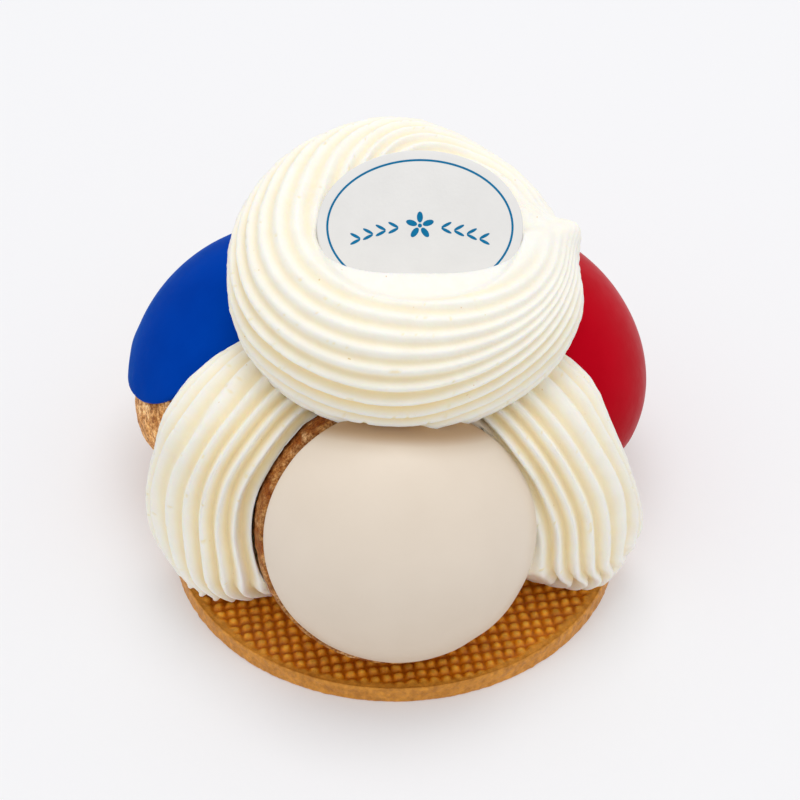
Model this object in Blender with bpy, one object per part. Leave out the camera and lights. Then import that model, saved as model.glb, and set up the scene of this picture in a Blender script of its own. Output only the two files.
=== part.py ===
"""Individual saint-honore cake.

Three round choux with a craquelin crust stand on a thin baked disc, tipped outwards so
that their icing caps face away from the middle.  Ribbed cream is piped up the three gaps
between them, and a ribbed cream ring lies on top, with a thin oval plaque standing in it.

Frame: the origin is the centre of the disc's flat underside, +Z is up, and the choux with
the ivory cap is at the front, towards -Y.  Sizes below are in millimetres.
"""
import math

import bpy
from mathutils import Matrix, Vector

MM = 0.001
GAP = 0.3                      # clearance between pieces that rest on each other
SPACE = 0.4                    # the space cut out of the cream around a piece

# baked disc
DISC_RADIUS = 40.0
DISC_HEIGHT = 3.5
DISC_EDGE = 0.7                # bevel of its edges
DISC_SEGMENTS = 48

# choux: half ellipsoids above and below their widest circle, with a flat baked foot
CAP_UP = 20.4                  # top of the icing above the widest circle
CHOU_DOWN = 21.4
FOOT_ANGLE = -53.0             # the round side ends this far below the widest circle
FOOT_EDGE = (1.4, 0.9)         # bevel between the side and the flat foot: in, down
ICING_THICK = 1.2
ICING_EDGE = 0.1               # rounding of the icing's rim
CRUST_LIP = 0.9                # edge of a crust that stands out past its icing
CRUST_LIP_IN = 0.5
BELOW_RIM = 6.0                # elsewhere the crust's side starts this far below the rim
CHOU_SEGMENTS = 30
CHOU_STEPS = 5                 # points down the cap
SIDE_STEPS = 6                 # and down the side

# name, centre x, centre y, direction the cap faces, tip from upright,
# crust radius, icing radius, angle of the icing's rim above the widest circle
CHOUX = (
    ("front", 0.4, -24.0, -84.0, 67.0, 24.6, 24.2, 15.5),
    ("left", -24.6, 19.3, 171.0, 40.0, 24.1, 25.6, 35.0),
    ("right", 22.5, 20.1, 12.0, 46.0, 24.1, 25.6, 6.0),
)

# cream ring
RING_CENTRE = (2.1, 3.2, 59.2)
RING_TILT = 6.0                # the ring leans to the front
RING_RADIUS = 17.0
RING_ACROSS = 13.3             # half width of the rope
RING_HIGH = 14.2               # half height of the rope
RING_BACK = 0.4                # its back is larger by this
RING_LEFT = (0.7, 0.3)         # its front left is wider and higher by these
RING_RIBS = 28
RING_TURN = 7                  # ribs crossed while the rope turns over at the back
RING_STEPS = 36
RIB_DEPTH = 1.0
CALM_DEPTH = 0.5               # depth of the smooth cream inside the ring's front
PEAK = (14.0, 42.0)            # where the rope ends: round the ring, and round the rope
PEAK_HIGH = 1.4                # the knob there, and its spread both ways
PEAK_SPREAD = (8.0, 24.0)
START_THIN = 3.8               # the rope starts this much thinner, just past its end
GATHER = 0.6                   # share by which the ribs run together towards the end
GATHER_SPREAD = 60.0

# cream strips: name, direction out from the middle, how much further out it bulges
STRIPS = (("left", 209.5, -0.4), ("right", 328.5, -0.4), ("back", 91.0, -2.8))
STRIP_AXIS = (0.5, 3.0)
STRIP_INNER = (10.0, 16.0)     # the bulge grows from this distance on, over this length
STRIP_RIBS = 20
STRIP_CORNER = 0.8             # under 1, the cross-section is fuller than an oval
STRIP_TIP = (2.2, 0.3)         # the upper end closes this far further in and down
# outward distance, height, tilt of the cross-section, half depth, half width
STRIP_PATH = (
    (27.0, 3.8, 0.0, 8.2, 10.2),
    (30.8, 7.0, 5.0, 11.8, 13.4),
    (32.4, 12.0, 12.0, 13.7, 15.0),
    (32.7, 18.0, 20.0, 14.1, 15.4),
    (31.8, 24.5, 30.0, 14.2, 15.4),
    (29.4, 31.0, 42.0, 14.2, 15.0),
    (25.8, 36.4, 55.0, 13.8, 14.2),
    (21.0, 39.8, 70.0, 12.6, 13.0),
    (15.6, 40.8, 86.0, 10.4, 10.8),
    (10.6, 40.0, 97.0, 6.6, 6.8),
)

# oval plaque
PLAQUE_WIDE = 34.4
PLAQUE_HIGH = 26.6
PLAQUE_THICK = 1.1
PLAQUE_LEAN = 35.0             # its face leans this far to the front from level
PLAQUE_CENTRE = (4.2, -0.2, 73.4)
PLAQUE_EDGE = 0.25             # bevel of its edge
PLAQUE_POINTS = 40

SHARP_ANGLE = 40.0
CREAM = (0.93, 0.90, 0.80)
CRUST = (0.42, 0.20, 0.07)
SABLE = (0.50, 0.24, 0.08)
PLAQUE_WHITE = (0.80, 0.79, 0.77)
ICINGS = {
    "front": ("icing_ivory", (0.74, 0.66, 0.56), 0.4),
    "left": ("icing_blue", (0.0, 0.045, 0.40), 0.35),
    "right": ("icing_red", (0.48, 0.0, 0.017), 0.35),
}


def clear_scene():
    for thing in list(bpy.data.objects):
        bpy.data.objects.remove(thing, do_unlink=True)


def material(name, colour, rough):
    mat = bpy.data.materials.new(name)
    mat.use_nodes = True
    shader = mat.node_tree.nodes["Principled BSDF"]
    shader.inputs["Base Color"].default_value = (*colour, 1.0)
    shader.inputs["Roughness"].default_value = rough
    mat.diffuse_color = (*colour, 1.0)
    return mat


def add_object(name, points, faces, mat=None):
    """Object from points in millimetres."""
    mesh = bpy.data.meshes.new(name)
    mesh.from_pydata([tuple(MM * c for c in p) for p in points], [], faces)
    mesh.validate()
    mesh.update()
    mesh.shade_smooth()
    mesh.set_sharp_from_angle(angle=math.radians(SHARP_ANGLE))
    body = bpy.data.objects.new(name, mesh)
    bpy.context.scene.collection.objects.link(body)
    if mat:
        mesh.materials.append(mat)
    return body


def tube_faces(rows, count, closed=False, shift=0):
    """Faces of a skin through rows of count points; closed joins the last row to the first."""
    faces = []
    last = rows if closed else rows - 1
    for i in range(last):
        here = i * count
        there = ((i + 1) % rows) * count
        turn = shift if i + 1 == rows else 0
        for j in range(count):
            k = (j + 1) % count
            far = there + (k + turn) % count
            faces.append((here + j, here + k, far))
            faces.append((here + j, far, there + (j + turn) % count))
    return faces


def turned(profile, segments):
    """Solid of revolution about Z; the profile starts and ends on the axis."""
    points = [(0.0, 0.0, profile[0][1])]
    inner = profile[1:-1]
    for radius, height in inner:
        for s in range(segments):
            a = 2 * math.pi * s / segments
            points.append((radius * math.cos(a), radius * math.sin(a), height))
    points.append((0.0, 0.0, profile[-1][1]))
    faces = []
    end = len(points) - 1
    last = 1 + (len(inner) - 1) * segments
    for s in range(segments):
        t = (s + 1) % segments
        faces.append((0, 1 + t, 1 + s))
        faces.append((end, last + s, last + t))
    for a, b, c in tube_faces(len(inner), segments):
        faces.append((a + 1, b + 1, c + 1))
    return points, faces


def half_ellipse(radius, up, down, start, stop, steps):
    """Points of the choux outline between two angles above its widest circle."""
    points = []
    for i in range(steps + 1):
        a = math.radians(start + (stop - start) * i / steps)
        height = up if a > 0 else down
        points.append((radius * math.cos(a), height * math.sin(a)))
    return points


def chou_body_profile(crust, icing, rim):
    """The crust is set back under the icing and comes out again below its rim."""
    dome = icing - ICING_THICK - GAP
    high = CAP_UP - ICING_THICK - GAP
    top = half_ellipse(dome, high, CHOU_DOWN, 90.0, rim, CHOU_STEPS)
    top[0] = (0.0, top[0][1])
    start = rim - BELOW_RIM
    if crust > icing:
        inner, height = top.pop()
        start = math.degrees(math.asin((height - CRUST_LIP) / high))
        lip = crust * math.cos(math.radians(start)) - CRUST_LIP_IN
        top += [(inner, height - CRUST_LIP / 2), (lip, height - CRUST_LIP / 2)]
    low = half_ellipse(crust, high, CHOU_DOWN, start, FOOT_ANGLE, SIDE_STEPS)
    return top + low + foot(low[-1], FOOT_EDGE[1])


def foot(edge, down):
    """Bevelled edge and middle of the flat foot, below the end of the round side."""
    return [(edge[0] - FOOT_EDGE[0], edge[1] - down), (0.0, edge[1] - down)]


def icing_profile(icing, rim):
    outer = half_ellipse(icing, CAP_UP, CHOU_DOWN, 90.0, rim, CHOU_STEPS)
    inner = half_ellipse(icing - ICING_THICK, CAP_UP - ICING_THICK, CHOU_DOWN, rim, 90.0, CHOU_STEPS)
    outer[0] = (0.0, outer[0][1])
    inner[-1] = (0.0, inner[-1][1])
    lip = ((outer[-1][0] + 2 * inner[0][0]) / 3, inner[0][1] - ICING_EDGE)
    outer[-1] = (outer[-1][0] - ICING_EDGE, outer[-1][1])
    return outer + [lip] + inner[1:]


def chou_space_profile(crust, icing, rim):
    """Whole outside of one chou with its icing, made larger all over by SPACE."""
    down = CHOU_DOWN + SPACE
    top = half_ellipse(icing + SPACE, CAP_UP + SPACE, down, 90.0, rim - 1.0, SIDE_STEPS)
    top[0] = (0.0, top[0][1])
    high = CAP_UP - ICING_THICK - GAP + SPACE
    start = min(rim - BELOW_RIM, BELOW_RIM)
    low = half_ellipse(crust + SPACE, high, down, start, FOOT_ANGLE, SIDE_STEPS)
    return top + low + foot(low[-1], FOOT_EDGE[1] + GAP)


def chou_place(x, y, facing, tip, crust):
    """Turn and place one chou so that it rests on the disc."""
    a = math.radians(facing)
    t = math.radians(tip)
    axis = Vector((math.sin(t) * math.cos(a), math.sin(t) * math.sin(a), math.cos(t)))
    out = Vector((math.cos(t) * math.cos(a), math.cos(t) * math.sin(a), -math.sin(t)))
    side = axis.cross(out)
    reach = math.hypot(crust * math.sin(t), CHOU_DOWN * math.cos(t))
    place = Matrix((out, side, axis)).transposed().to_4x4()
    place.translation = Vector((x, y, DISC_HEIGHT + GAP + reach)) * MM
    return place


def full(value):
    """Makes an oval fuller at its corners, where the cream is pressed between the choux."""
    return math.copysign(abs(value) ** STRIP_CORNER, value)


def ease(value, low, high):
    """0 below low, 1 above high, with a smooth step between."""
    t = min(1.0, max(0.0, (value - low) / (high - low)))
    return t * t * (3 - 2 * t)


def window(value, start, full_from, full_to, end):
    """Rises from 0 at start to 1 between the middle two values, and falls back to 0 at end."""
    return ease(value, start, full_from) * (1.0 - ease(value, full_to, end))


def around(value, centre):
    """Angle from centre to value, from -180 to 180."""
    return (value - centre + 180.0) % 360.0 - 180.0


def rope_end(turn, lift):
    """Height of the rope's own surface near its end, where it lies over its thin start."""
    off = around(turn, PEAK[0])
    knob = PEAK_HIGH * math.exp(-(off / PEAK_SPREAD[0]) ** 2 - (lift / PEAK_SPREAD[1]) ** 2)
    start = PEAK[0] - 0.3 * min(110.0, max(0.0, lift))
    thin = window(around(turn, 0.0), start, start + 13.0, 52.0, 100.0)
    return knob - START_THIN * thin


def ring_row(turn, grow, smooth):
    """Points round the rope at one place on the ring, counted to the left from its right."""
    a = math.radians(turn)
    back = RING_BACK * max(0.0, math.sin(a))
    swell = window(turn, 165.0, 215.0, 260.0, 310.0)
    across = RING_ACROSS + back + RING_LEFT[0] * swell + grow
    high = RING_HIGH + back + RING_LEFT[1] * swell + grow
    front = 0.0 if smooth else window(turn, 185.0, 225.0, 315.0, 350.0)
    twist = RING_TURN * 360.0 / RING_RIBS * ease(turn, 20.0, 165.0)
    gather = GATHER * window(around(turn, PEAK[0]), -62.0, 0.0, 2.0, 14.0)
    row = []
    for k in range(2 * RING_RIBS):
        angle = k * 180.0 / RING_RIBS + twist
        lift = around(angle, PEAK[1])
        pull = gather * math.exp(-(lift / GATHER_SPREAD) ** 2)
        angle -= lift * pull
        drop = 0.0 if smooth or k % 2 else -RIB_DEPTH
        calm = front * window(angle % 360.0, 98.0, 122.0, 205.0, 245.0)
        drop += (-CALM_DEPTH - drop) * calm
        drop += rope_end(turn, lift * (1.0 - pull))
        b = math.radians(angle)
        out = RING_RADIUS + back + (across + drop) * math.cos(b)
        row.append((out * math.cos(a), out * math.sin(a), (high + drop) * math.sin(b)))
    return row


def ring_mesh(grow=0.0, smooth=False):
    tilt = Matrix.Rotation(math.radians(RING_TILT), 3, "X")
    points = []
    for i in range(RING_STEPS):
        for spot in ring_row(360.0 * i / RING_STEPS, grow, smooth):
            points.append(tuple(tilt @ Vector(spot) + Vector(RING_CENTRE)))
    return points, tube_faces(RING_STEPS, 2 * RING_RIBS, closed=True, shift=2 * RING_TURN)


def strip_mesh(facing, reach):
    a = math.radians(facing)
    out = Vector((math.cos(a), math.sin(a), 0.0))
    side = Vector((-math.sin(a), math.cos(a), 0.0))
    up = Vector((0.0, 0.0, 1.0))
    base = Vector((STRIP_AXIS[0], STRIP_AXIS[1], 0.0))
    count = STRIP_RIBS * 2
    points = []
    for dist, high, tilt, deep, wide in STRIP_PATH:
        t = math.radians(tilt)
        face = out * math.cos(t) + up * math.sin(t)
        share = min(1.0, (dist - STRIP_INNER[0]) / STRIP_INNER[1])
        centre = base + out * (dist + reach * share) + up * high
        for k in range(count):
            b = 2 * math.pi * k / count
            drop = 0.0 if k % 2 else -RIB_DEPTH
            u = full(math.cos(b))
            v = full(math.sin(b))
            spot = centre + face * (deep + drop) * u + side * (wide + drop) * v
            points.append(tuple(spot))
    rows = len(STRIP_PATH)
    faces = tube_faces(rows, count)
    faces.append(tuple(range(count))[::-1])
    dist, high = STRIP_PATH[-1][:2]
    points.append(tuple(base + out * (dist - STRIP_TIP[0]) + up * (high - STRIP_TIP[1])))
    start = (rows - 1) * count
    for k in range(count):
        faces.append((start + k, start + (k + 1) % count, rows * count))
    return points, faces


def cut(body, cutter):
    step = body.modifiers.new("cut", "BOOLEAN")
    step.operation = "DIFFERENCE"
    step.solver = "EXACT"
    step.object = cutter


def guide(name, points, faces):
    body = add_object(name, points, faces)
    body.hide_render = True
    body.display_type = "WIRE"
    return body


def outward(body):
    """Turn all faces outwards."""
    mesh = body.data
    volume = 0.0
    for face in mesh.polygons:
        spots = [mesh.vertices[v].co for v in face.vertices]
        for i in range(1, len(spots) - 1):
            volume += spots[0].dot(spots[i].cross(spots[i + 1]))
    if volume < 0:
        mesh.flip_normals()


def build_disc():
    r, h, e = DISC_RADIUS, DISC_HEIGHT, DISC_EDGE
    profile = [(0.0, 0.0), (r - e, 0.0), (r, e), (r, h - e), (r - e, h), (0.0, h)]
    points, faces = turned(profile, DISC_SEGMENTS)
    body = add_object("sable_base", points, faces, material("sable", SABLE, 0.75))
    outward(body)


def build_choux():
    spaces = []
    for name, x, y, facing, tip, crust, icing, rim in CHOUX:
        place = chou_place(x, y, facing, tip, crust)
        points, faces = turned(chou_body_profile(crust, icing, rim), CHOU_SEGMENTS)
        body = add_object("chou_" + name, points, faces, material("craquelin_" + name, CRUST, 0.8))
        points, faces = turned(icing_profile(icing, rim), CHOU_SEGMENTS)
        cap = add_object("icing_" + name, points, faces, material(*ICINGS[name]))
        points, faces = turned(chou_space_profile(crust, icing, rim), CHOU_SEGMENTS)
        space = guide("space_" + name, points, faces)
        for thing in (body, cap, space):
            thing.matrix_world = place
            outward(thing)
        spaces.append(space)
    return spaces


def plaque_mesh(grow=0.0):
    t = math.radians(90.0 - PLAQUE_LEAN)
    across = Vector((1.0, 0.0, 0.0))
    upward = Vector((0.0, math.sin(t), math.cos(t)))
    face = across.cross(upward)
    centre = Vector(PLAQUE_CENTRE)
    half = PLAQUE_THICK / 2 + grow
    edge = PLAQUE_EDGE
    count = PLAQUE_POINTS
    rows = ((-half, edge), (-half + edge, 0.0), (half - edge, 0.0), (half, edge))
    points = []
    for depth, inset in rows:
        for k in range(count):
            b = 2 * math.pi * k / count
            u = (PLAQUE_WIDE / 2 + grow - inset) * math.cos(b)
            v = (PLAQUE_HIGH / 2 + grow - inset) * math.sin(b)
            points.append(tuple(centre + across * u + upward * v + face * depth))
    faces = tube_faces(len(rows), count)
    faces.append(tuple(range(count))[::-1])
    faces.append(tuple(3 * count + k for k in range(count)))
    return points, faces


def build_plaque():
    points, faces = plaque_mesh()
    plaque = add_object("plaque", points, faces, material("plaque", PLAQUE_WHITE, 0.45))
    outward(plaque)
    slot = guide("space_plaque", *plaque_mesh(GAP))
    outward(slot)
    return slot


def add_cream(name, points, faces, spaces):
    """Cream that is pressed against its neighbours, so their spaces are cut out of it."""
    body = add_object(name, points, faces, material(name, CREAM, 0.5))
    outward(body)
    for space in spaces:
        cut(body, space)


def build_cream(choux_spaces, slot):
    points, faces = ring_mesh()
    add_cream("cream_ring", points, faces, choux_spaces + [slot])
    above = guide("space_ring", *ring_mesh(SPACE, smooth=True))
    outward(above)
    for name, facing, reach in STRIPS:
        points, faces = strip_mesh(facing, reach)
        add_cream("cream_strip_" + name, points, faces, choux_spaces + [above])


def main():
    clear_scene()
    build_disc()
    choux_spaces = build_choux()
    slot = build_plaque()
    build_cream(choux_spaces, slot)


main()
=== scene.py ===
"""Individual saint-honore cake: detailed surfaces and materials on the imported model.

Shapes are worked out in millimetres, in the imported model's frame: the origin is the centre of
the base's flat underside, +Z is up and the ivory chou is at the front, towards -Y.
"""

import math

import bpy
import numpy as np
from mathutils import Matrix, Vector


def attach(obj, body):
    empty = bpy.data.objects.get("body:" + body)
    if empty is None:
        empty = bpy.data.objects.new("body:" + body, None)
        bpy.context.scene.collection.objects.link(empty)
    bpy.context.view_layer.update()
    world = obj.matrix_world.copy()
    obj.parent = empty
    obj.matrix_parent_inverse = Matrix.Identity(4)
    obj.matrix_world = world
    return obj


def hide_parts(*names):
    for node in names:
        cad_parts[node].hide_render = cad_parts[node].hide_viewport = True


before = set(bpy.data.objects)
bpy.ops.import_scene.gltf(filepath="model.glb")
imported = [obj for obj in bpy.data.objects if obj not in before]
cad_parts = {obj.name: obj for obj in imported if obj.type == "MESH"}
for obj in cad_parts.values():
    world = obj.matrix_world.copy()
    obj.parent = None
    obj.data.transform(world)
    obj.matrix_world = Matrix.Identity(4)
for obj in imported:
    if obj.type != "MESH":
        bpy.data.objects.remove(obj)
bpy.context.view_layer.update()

MM = 0.001
BODY = "root"

# camera, at the photograph's angle
CAMERA_AIM = (0.9, 9.7, 25.0)
CAMERA_RISE = 43.05  # degrees above level
CAMERA_DISTANCE = 600.0
CAMERA_LENS = 151.85  # on a 36 mm wide sensor

# baked base, with the square bumps that a perforated mat leaves
DISC_RADIUS = 40.0
DISC_HEIGHT = 3.5
DISC_EDGE = 0.5  # rounding
DISC_FLAT = DISC_RADIUS - DISC_EDGE
DISC_CELL = 0.27  # squares of the top's mesh
BUMP_PITCH = 2.0
BUMP_TURN = 10.5  # degrees
BUMP_HIGH = 0.6
BUMP_FULL = (0.8, 0.25)  # how far in a bump is full: at least, and what chance adds
BUMP_LOW = 0.15  # the lowest bumps are lower by this share
UNEVEN_GRID = 0.3  # the grid's lines wander by this
BUMP_BORDER = (37.6, 39.0)  # the bumps fade out over this part of the radius
BORDER_RISE = 0.75  # height of the plain border, as a share of a bump's
TOP_GRAIN = 0.05
SIDE_START = 0.1  # the side begins this far below the tops of the bumps
SIDE_STEP = 0.33
SIDE_ROUGH = (0.10, 0.08)  # coarse and fine

# choux
CAP_UP = 20.4  # from a chou's widest circle along its axis to the icing's crown
CHOU_DOWN = 21.4  # and down to the end of its round, if it had no foot
FOOT_ANGLE = -53.0  # the round ends here
FOOT_DROP = 0.9
ICING_THICK = 1.2
GAP = 0.3  # between pieces that touch
INSET = 0.02  # icing and plaque keep this far inside their solids
SKIN_INSET = 0.03  # and cream this far
SINK = 0.4  # cream beds this deep in crust and icing
ICED_FROM = (-1.0, 3.0)  # degrees from the rim at which cream comes to lie on icing
# name, x, y, direction and tip of the axis, radius of crust and icing, and angle of the icing's rim
CHOUX = (
    ("front", 0.4, -24.0, -84.0, 67.0, 24.6, 24.2, 15.5),
    ("left", -24.6, 19.3, 171.0, 40.0, 24.1, 25.6, 35.0),
    ("right", 22.5, 20.1, 12.0, 46.0, 24.1, 25.6, 6.0),
)
PATTERN_PLACE = {"front": 1.0, "left": 2.0, "right": 3.0}
PATTERN_STEP = 60.0  # between two choux in the pattern

# crust
LIP_DROP = 0.9  # the front chou's crust starts this far below its icing's rim
CRUST_STRETCH = (1.0, 1.0, 0.5)  # the pattern is twice as long along a chou's axis
CRACK_WIDE = 0.5
CRACK_DEEP = 0.16
GRAIN_HIGH = 0.15
STREAK_DEEP = 0.25
STREAK_SHARE = (0.1, 0.6)  # noise between these gives streaks
STREAK_FADE = (26.0, 8.0)  # degrees below the rim
STREAK_LEAST = 0.25
PATCH_HIGH = 0.1
PATCH_LEAST = 0.35  # brightness of the darkest patch
CRUST_SUNK = 0.16  # the crust keeps this far inside its solid on average
RIM_HIDDEN = 2.0  # the relief ends over these degrees below the rim
# the front chou's crust: height, direction and spread of its swellings, hollows where below 0
CRUST_SWELLS = ((-0.3, 231.0, 50.0), (0.5, 350.0, 42.0), (-0.8, 90.0, 60.0))
# and the browned band beside its icing, in degrees below the rim
BAND_SMOOTH = 0.25  # it is less rough by this share
BAND_SMOOTH_END = (13.0, 20.0)
BAND_DARK = 0.3  # brightness of its patches
BAND_DARK_END = (14.0, 22.0)
BAND_STREAK = (3.5, 7.0, 11.0, 20.0)
BAND_BROWNING_AND_SHADE = (0.5, 0.9)  # browning of the band and painted shade in its pits: on average, and what its grain changes
SMEAR_SLANT = 0.25  # icing is smeared over its right side
SMEAR_EDGE = (6.0, 9.0)
SMEAR_END = (22.0, 34.0)
LEFT_FULL = 1.1  # the left chou is fuller by this between these angles:
LEFT_FULL_SPAN = (-52.0, -30.0, 10.0, 30.0)

# icing
LIP_LONG = 1.25  # length of the rounded lip against half its thickness
RIM_START = 2.0  # the lip begins this many degrees above the rim
RIM_SAG = 0.15
RIM_SAG_SPAN = 12.0
RIM_WAVES = ((0.18, 3, 1), (0.12, 7, 2))  # height, number round the rim, and shift
RIM_LUMPS = 0.3
CAP_UNEVEN = 0.0012
# the caps are moved by this to fit the photograph
NUDGE = {"front": (0.0, 0.0, 0.0), "left": (0.15, 0.9, 0.0), "right": (-0.35, 0.3, 0.0)}
LOW_PAINTED_SHADE = 0.45  # strength of the painted shade that darkens the icing low down
LOW_ICING = (14.0, 34.0)  # heights between which that ends
RING_PAINTED_SHADOW = 0.9  # and of the painted shadow under the cream ring, fading out over this distance:
RING_SHADOW_REACH = (1.5, 6.5)
ICING_SLOTS = {"front": "icing_ivory", "left": "icing_blue", "right": "icing_red"}
# thin: colour of the icing's painted shade low down and of the painted shadow under the cream ring
ICINGS = {
    "front": dict(
        name="ivory_icing", light=(0.82, 0.712, 0.592), dark=(0.79, 0.682, 0.562), rough=0.44,
        gloss=0.6, thin=(0.55, 0.38, 0.22), sheen=(1.0, 1.0, 1.0), bend=1.5),
    "left": dict(
        name="blue_icing", light=(0.0, 0.050, 0.41), dark=(0.0, 0.040, 0.35), rough=0.5,
        gloss=0.02, thin=(0.7, 0.7, 0.7), sheen=(0.0, 0.5, 1.0), bend=1.2),
    "right": dict(
        name="red_icing", light=(0.50, 0.0, 0.010), dark=(0.45, 0.0, 0.008), rough=0.42,
        gloss=0.02, thin=(0.7, 0.7, 0.7), sheen=(1.0, 0.8, 0.85), bend=1.5),
}

# unevenness of piped cream: height, size and seed
CREAM_LUMPS = ((0.16, 9.0, 30), (0.06, 2.2, 31), (0.035, 0.8, 32))
CREST_LUMPS = (0.06, 1.3, 34)
NICK_SHARE = (0.66, 0.85)  # noise between these gives nicks
NICK_CREST = (0.5, 0.9)  # on the crests alone
NICK_DEEP = 0.25
CREAM_PLACE = 50.0  # the strips' place in the pattern

# cream ring, a rope laid round; angles round it start at the right, and round the rope outside
RING_CENTRE = np.array((2.1, 3.7, 59.6))
RING_TILT = 6.0
RING_RADIUS = 17.0
RING_ACROSS = 13.3  # half width and half height of the rope
RING_HIGH = 14.2
RING_BACK = 0.4  # the rope is thicker by this at the back
RING_LEFT = (0.7, 0.3)  # and wider and higher at the left
RING_LEFT_SPAN = (165.0, 215.0, 260.0, 310.0)
SHOULDER = 0.7  # and thicker between these angles:
SHOULDER_SPAN = (30.0, 85.0, 150.0, 200.0)
RING_ROWS = 440
RIB_STEPS = 8  # points for each rib
RING_RIBS = 28
RING_TURN = 7  # ribs crossed while the rope turns over behind
RING_TURN_SPAN = (20.0, 165.0)
RIB_DEPTH = (0.65, 1.8)  # on the ring's upper and lower side
RIB_LOWER = (-0.15, 0.85)  # sines of the angles at which the lower side ends
RIB_SHARP = 0.82
RIB_UNEVEN = ((0.10, 6, 1.0), (0.07, 10, 0.0))  # waves: shift of the ribs, half turns and start
FRONT = 270.0
CALM_SPAN = (-85.0, -45.0, 80.0, 104.0)  # from the front: the rope's inner side is plain here
CALM_SIDE = (10.0, 85.0)  # and more of it towards the right
CALM_FROM = ((82.0, 30.0), (98.0, 22.0))  # where that begins round the rope, less what it grows
CALM_TO = (205.0, 245.0)
CALM_DEPTH = 0.45
PEAK = (8.0, 34.0)  # where the rope ends: round the ring, and round the rope
KNOB = (1.9, 0.0, 0.0, 6.8, 15.0)  # height, place and spread of its knob
DENT = (1.0, -8.0, -30.0, 7.0, 20.0)  # of the hollow under it
FLANK = (0.8, -38.0, -30.0, 20.0, 30.0)  # and of the fuller part before it
PEAK_FADE = (0.85, 0.0, 12.0, 26.0, 55.0)  # the ribs fade there: share, place and spread
START_THIN = 2.6  # the rope's start, which comes out from under its end, is thinner
START_EDGE = (4.0, 0.32)  # its edge before the peak, and the slant of that edge
START_FAR = 110.0
START_STEP = 13.0
START_FULL = (52.0, 100.0)
GATHER = 0.68  # the ribs run together towards the peak
GATHER_SPAN = (-112.0, -20.0, 3.0, 15.0)
GATHER_SPREAD = 95.0
RING_SHADE = 0.5  # strength of the painted shade in the upper side's grooves against the lower side's

# cream strips: name, facing, reach, side on which the front chou lies, and the last rib before the
# plain face on that side
STRIPS = (
    ("left", 209.5, 0.6, 1.0, 6.0),
    ("right", 327.0, 0.6, -1.0, 4.0),
    ("back", 91.0, -3.1, 0.0, 99.0),
)
STRIP_AXIS = (0.5, 3.0)  # the strips' common middle
STRIP_INNER = (10.0, 16.0)  # the reach grows from nothing this far from it, over this distance
INNER_REACH = 16.0  # a strip's hidden side stays this far from it
INNER_LEAST = 4.0  # or is this deep
STRIP_ROWS = 220
STRIP_RIBS = 26
STRIP_GROOVE = (1.3, 2.1)  # depth on the far side and towards the front chou
STRIP_NEAR = (-0.2, 0.8)  # sines of the angles at which that side begins
STRIP_HALVES = (-0.5, 0.5)  # and at which the half widths change over
STRIP_SHARP = (1.5, 0.85)  # sharpness of the ribs at the foot and from the middle up
STRIP_SHARP_SPAN = (6.0, 26.0)
STRIP_CORNER = 0.8  # under 1, a strip is squarer than an oval
PLAIN_EDGE = 0.8  # the plain face begins over this many ribs
PLAIN_END = (11.0, 13.0)
PLAIN_SHARE = 0.85  # its ribs are lower by this share
STRIP_SHADE = (0.6, 0.25)  # painted shade in the grooves, and more of it towards the front chou
# cream of the left strip over the front chou's crust, by rib from the front and by height
OVER_RIBS = (4.5, 5.5, 9.2, 9.6)
OVER_SPAN = (6.0, 12.0, 39.5, 40.5)
OVER_THICK = 0.35
OVER_REACH = 2.0  # its face there stands out by this
OVER_REACH_SPAN = (6.0, 14.0, 36.0, 40.0)
STRIP_TIP = (2.2, 0.3)  # the upper end's middle lies this far in and down
TOE_HIGH = 9.0  # below this the grooves are drawn up between rounded tips
TOE_POINT = 2.4
TOE_ROUND = 1.5
# rows of a strip from the foot up: height and tilt
STRIP_LEVELS = (
    (3.8, 0.0), (7.0, 5.0), (12.0, 12.0), (18.0, 20.0), (24.5, 30.0),
    (31.0, 42.0), (36.4, 55.0), (39.8, 70.0), (40.8, 86.0), (40.0, 97.0),
)
STRIP_FOOT = STRIP_LEVELS[0][0]
# and for each row: distance from the middle, half depth, half width towards the front chou and away
# from it, sideways shift, and turn of the ribs in rib widths
STRIP_PATHS = {
    "left": (
        (23.1, 18.3, 11.8, 8.6, -3.7, 1.0),
        (29.0, 14.0, 12.6, 12.6, -2.3, 1.5),
        (31.7, 13.9, 17.2, 11.4, -3.3, 0.7),
        (32.0, 14.1, 20.9, 10.7, -4.2, 0.2),
        (31.5, 14.2, 17.6, 11.9, -3.0, -0.1),
        (30.5, 14.2, 14.2, 13.7, -1.2, 0.0),
        (26.4, 13.8, 13.4, 14.2, 0.0, -0.4),
        (21.0, 12.6, 13.0, 13.0, 0.1, -1.0),
        (15.6, 10.4, 10.8, 10.8, 0.0, -1.0),
        (10.6, 6.6, 6.8, 6.8, 0.0, -1.0),
    ),
    "right": (
        (14.6, 26.3, 8.5, 6.5, 5.2, -0.4),
        (24.7, 18.0, 10.2, 11.2, 5.2, -0.2),
        (31.0, 13.7, 13.4, 10.8, 5.5, -1.2),
        (31.6, 14.1, 16.8, 10.3, 3.9, -0.8),
        (30.6, 14.2, 15.2, 10.4, 2.4, -0.5),
        (28.2, 14.2, 13.6, 11.9, 0.9, -0.5),
        (25.7, 13.8, 13.7, 13.9, 0.1, -0.5),
        (21.1, 12.6, 12.8, 13.1, 0.0, -0.3),
        (15.6, 10.4, 10.8, 10.8, 0.0, -0.3),
        (10.6, 6.6, 6.8, 6.8, 0.0, -0.3),
    ),
    "back": [(dist, deep, half, half, 0.0, 0.0) for dist, deep, half in (
        (29.5, 8.2, 8.2), (30.8, 11.8, 13.0), (32.4, 13.7, 15.0), (32.7, 14.1, 15.4), (31.8, 14.2, 15.4),
        (29.4, 14.2, 15.0), (25.8, 13.8, 14.2), (21.0, 12.6, 13.0), (15.6, 10.4, 10.8), (10.6, 6.6, 6.8),
    )],
}

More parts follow.
